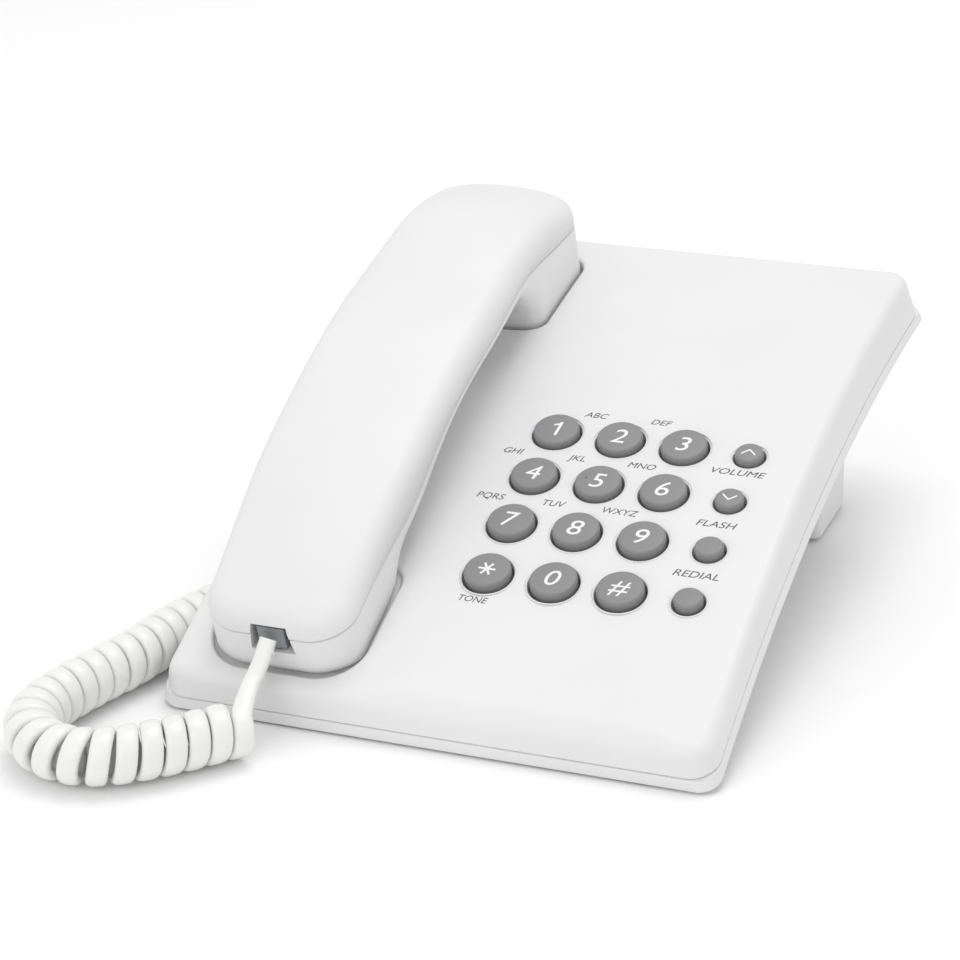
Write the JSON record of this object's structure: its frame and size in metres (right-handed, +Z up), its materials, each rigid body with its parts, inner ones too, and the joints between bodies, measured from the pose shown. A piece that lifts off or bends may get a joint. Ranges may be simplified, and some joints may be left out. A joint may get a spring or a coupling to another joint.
{
  "type": "corded landline phone",
  "caption": "Low, wedge-shaped corded desk telephone: handset in a cradle on the left, round push keys on the right, curly cord and rear stand.",
  "frame": {"origin": "centre of the desk footprint of the set without its cord, on the desk", "axes": "+Z up, +X to the user's right, +Y from the front edge to the back"},
  "size_m": [0.1846, 0.259, 0.0898],
  "materials": {
    "white_abs": "fine-textured moulded ABS, satin matt",
    "grey_key": "satin moulded key caps",
    "cord_white": "glossy flexible PVC",
    "clear_plug": "clear polycarbonate",
    "black_plastic": "matt black moulding",
    "rubber_grey": "moulded rubber",
    "foot_rubber": "soft pale rubber",
    "steel": "zinc-plated steel",
    "board_green": "solder-masked glass-epoxy board",
    "brass_disc": "piezo disc",
    "copper_wire": "insulated wire"
  },
  "bodies": {
    "base": {"upper_casing": "white_abs", "lower_casing": "white_abs", "casing_screws": "steel", "keypad_membrane": "rubber_grey", "main_circuit_board": "board_green", "board_screws": "steel", "board_components": "black_plastic", "line_jack": "black_plastic", "base_handset_jack": "black_plastic", "ringer_sounder": "brass_disc", "base_ballast_plate": "steel", "hook_return_spring": "steel", "hook_switch": "black_plastic", "handset_hook_tab": "white_abs", "ringer_switch": "black_plastic", "dial_mode_switch": "black_plastic", "wall_bracket": "white_abs", "rubber_feet": "foot_rubber", "handset_lead": "cord_white", "cord_coil": "cord_white", "base_lead": "cord_white", "base_plug": "clear_plug"},
    "handset": {"handset_back_cover": "white_abs", "handset_front_cover": "white_abs", "handset_screws": "steel", "receiver_gasket": "rubber_grey", "receiver_capsule": "black_plastic", "microphone_boot": "rubber_grey", "microphone_capsule": "steel", "handset_ballast": "steel", "handset_cord_jack": "black_plastic", "handset_wiring": "copper_wire", "handset_plug": "clear_plug"},
    "hook_plunger": {"hook_plunger": "white_abs"},
    "ringer_selector": {"ringer_selector": "black_plastic"},
    "dial_mode_selector": {"dial_mode_selector": "black_plastic"},
    "key_1": {"key_1": "grey_key"},
    "key_2": {"key_2": "grey_key"},
    "key_3": {"key_3": "grey_key"},
    "key_4": {"key_4": "grey_key"},
    "key_5": {"key_5": "grey_key"},
    "key_6": {"key_6": "grey_key"},
    "key_7": {"key_7": "grey_key"},
    "key_8": {"key_8": "grey_key"},
    "key_9": {"key_9": "grey_key"},
    "key_star": {"key_star": "grey_key"},
    "key_0": {"key_0": "grey_key"},
    "key_hash": {"key_hash": "grey_key"},
    "volume_up_key": {"volume_up_key": "grey_key"},
    "volume_down_key": {"volume_down_key": "grey_key"},
    "flash_key": {"flash_key": "grey_key"},
    "redial_key": {"redial_key": "grey_key"}
  },
  "joints": [
    {"name": "handset_lift", "type": "slide", "parent": "base", "child": "handset", "axis": [0, -0.2756, 0.9613], "range_m": [0, 0.09]},
    {"name": "hook_travel", "type": "slide", "parent": "base", "child": "hook_plunger", "axis": [0, -0.2756, 0.9613], "range_m": [0, 0.004], "deforming": ["hook_return_spring"]},
    {"name": "ringer_selector_slide", "type": "slide", "parent": "base", "child": "ringer_selector", "axis": [1, 0, 0], "range_m": [-0.002, 0.002]},
    {"name": "dial_mode_selector_slide", "type": "slide", "parent": "base", "child": "dial_mode_selector", "axis": [1, 0, 0], "range_m": [-0.002, 0.002]},
    {"name": "key_1_press", "type": "slide", "parent": "base", "child": "key_1", "axis": [0, 0.3149, -0.9491], "range_m": [0, 0.0015], "stiffness_N_per_m": 300},
    {"name": "key_2_press", "type": "slide", "parent": "base", "child": "key_2", "axis": [0, 0.3149, -0.9491], "range_m": [0, 0.0015], "stiffness_N_per_m": 300},
    {"name": "key_3_press", "type": "slide", "parent": "base", "child": "key_3", "axis": [0, 0.3149, -0.9491], "range_m": [0, 0.0015], "stiffness_N_per_m": 300},
    {"name": "key_4_press", "type": "slide", "parent": "base", "child": "key_4", "axis": [0, 0.3149, -0.9491], "range_m": [0, 0.0015], "stiffness_N_per_m": 300},
    {"name": "key_5_press", "type": "slide", "parent": "base", "child": "key_5", "axis": [0, 0.3149, -0.9491], "range_m": [0, 0.0015], "stiffness_N_per_m": 300},
    {"name": "key_6_press", "type": "slide", "parent": "base", "child": "key_6", "axis": [0, 0.3149, -0.9491], "range_m": [0, 0.0015], "stiffness_N_per_m": 300},
    {"name": "key_7_press", "type": "slide", "parent": "base", "child": "key_7", "axis": [0, 0.3149, -0.9491], "range_m": [0, 0.0015], "stiffness_N_per_m": 300},
    {"name": "key_8_press", "type": "slide", "parent": "base", "child": "key_8", "axis": [0, 0.3149, -0.9491], "range_m": [0, 0.0015], "stiffness_N_per_m": 300},
    {"name": "key_9_press", "type": "slide", "parent": "base", "child": "key_9", "axis": [0, 0.3149, -0.9491], "range_m": [0, 0.0015], "stiffness_N_per_m": 300},
    {"name": "key_star_press", "type": "slide", "parent": "base", "child": "key_star", "axis": [0, 0.3149, -0.9491], "range_m": [0, 0.0015], "stiffness_N_per_m": 300},
    {"name": "key_0_press", "type": "slide", "parent": "base", "child": "key_0", "axis": [0, 0.3149, -0.9491], "range_m": [0, 0.0015], "stiffness_N_per_m": 300},
    {"name": "key_hash_press", "type": "slide", "parent": "base", "child": "key_hash", "axis": [0, 0.3149, -0.9491], "range_m": [0, 0.0015], "stiffness_N_per_m": 300},
    {"name": "volume_up_key_press", "type": "slide", "parent": "base", "child": "volume_up_key", "axis": [0, 0.3149, -0.9491], "range_m": [0, 0.0015], "stiffness_N_per_m": 300},
    {"name": "volume_down_key_press", "type": "slide", "parent": "base", "child": "volume_down_key", "axis": [0, 0.3149, -0.9491], "range_m": [0, 0.0015], "stiffness_N_per_m": 300},
    {"name": "flash_key_press", "type": "slide", "parent": "base", "child": "flash_key", "axis": [0, 0.3149, -0.9491], "range_m": [0, 0.0015], "stiffness_N_per_m": 300},
    {"name": "redial_key_press", "type": "slide", "parent": "base", "child": "redial_key", "axis": [0, 0.3149, -0.9491], "range_m": [0, 0.0015], "stiffness_N_per_m": 300}
  ],
  "couplings": [
    {"joint": "hook_travel", "follows": "handset_lift", "ratio": 0.0444}
  ]
}
